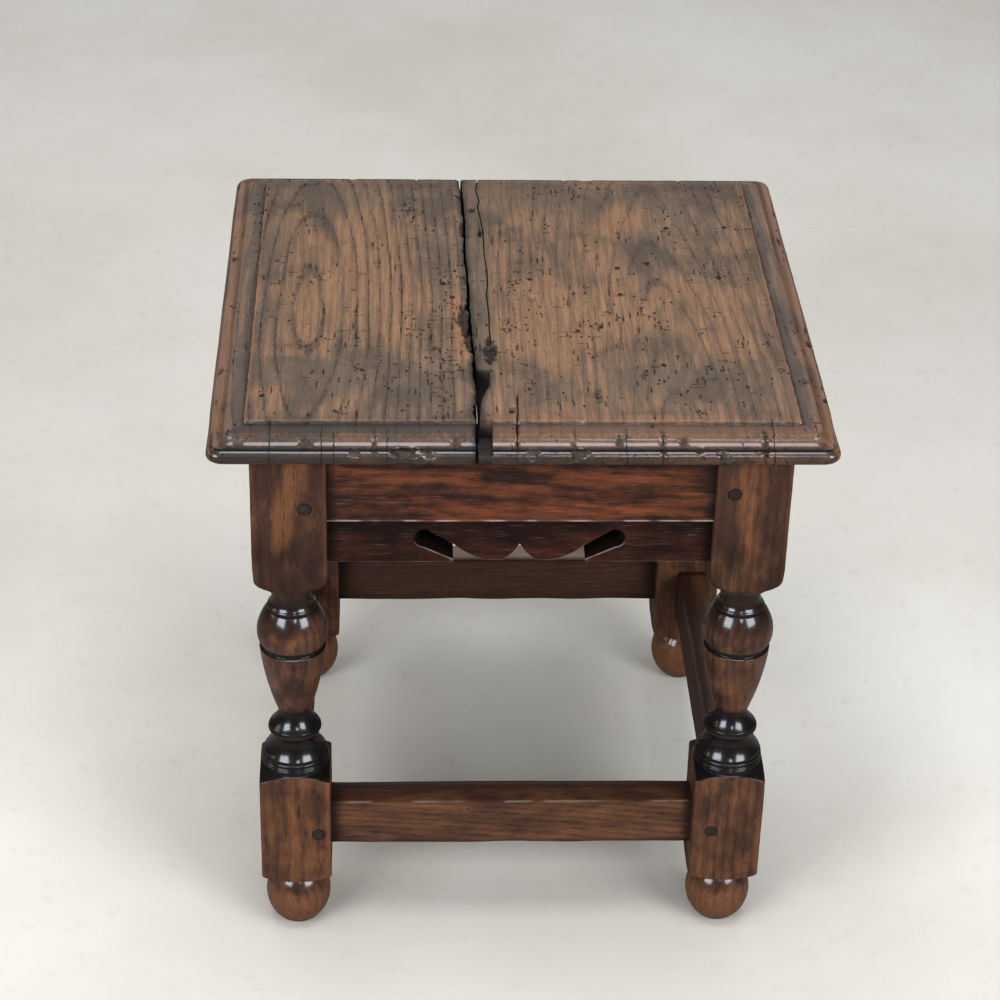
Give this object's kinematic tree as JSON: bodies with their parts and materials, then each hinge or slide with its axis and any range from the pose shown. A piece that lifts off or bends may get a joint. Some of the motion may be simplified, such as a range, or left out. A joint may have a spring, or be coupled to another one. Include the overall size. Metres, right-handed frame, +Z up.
{
  "type": "joint stool",
  "caption": "Low square oak joint stool with turned baluster legs, moulded aprons with a pierced lower edge, low stretchers and a moulded board top.",
  "frame": {"origin": "on the floor under the middle of the seat", "axes": "+Z up, front at -Y, +X to the right of someone who faces the front"},
  "size_m": [0.39, 0.39, 0.412],
  "materials": {
    "top_oak": "worn satin wax",
    "frame_oak": "dark polished wax",
    "rail_oak": "dark polished wax",
    "peg_oak": "dark wax"
  },
  "bodies": {
    "root": {"top_board_left": "top_oak", "top_board_right": "top_oak", "leg_front_left": "frame_oak", "leg_front_right": "frame_oak", "leg_back_left": "frame_oak", "leg_back_right": "frame_oak", "apron_front": "rail_oak", "apron_back": "rail_oak", "apron_left": "rail_oak", "apron_right": "rail_oak", "stretcher_front": "rail_oak", "stretcher_back": "rail_oak", "stretcher_left": "rail_oak", "stretcher_right": "rail_oak", "apron_peg_front_left": "peg_oak", "apron_peg_front_right": "peg_oak", "apron_peg_back_right": "peg_oak", "apron_peg_back_left": "peg_oak", "apron_peg_left_back": "peg_oak", "apron_peg_left_front": "peg_oak", "apron_peg_right_front": "peg_oak", "apron_peg_right_back": "peg_oak", "stretcher_peg_front_left": "peg_oak", "stretcher_peg_front_right": "peg_oak", "stretcher_peg_back_right": "peg_oak", "stretcher_peg_back_left": "peg_oak", "stretcher_peg_left_back": "peg_oak", "stretcher_peg_left_front": "peg_oak", "stretcher_peg_right_front": "peg_oak", "stretcher_peg_right_back": "peg_oak", "top_peg_back_left": "peg_oak", "top_peg_side_left": "peg_oak", "top_peg_corner_front_left": "peg_oak", "top_peg_back_right": "peg_oak", "top_peg_corner_back_right": "peg_oak", "top_peg_side_right": "peg_oak", "top_peg_corner_front_right": "peg_oak", "top_peg_front_right": "peg_oak"}
  },
  "joints": []
}
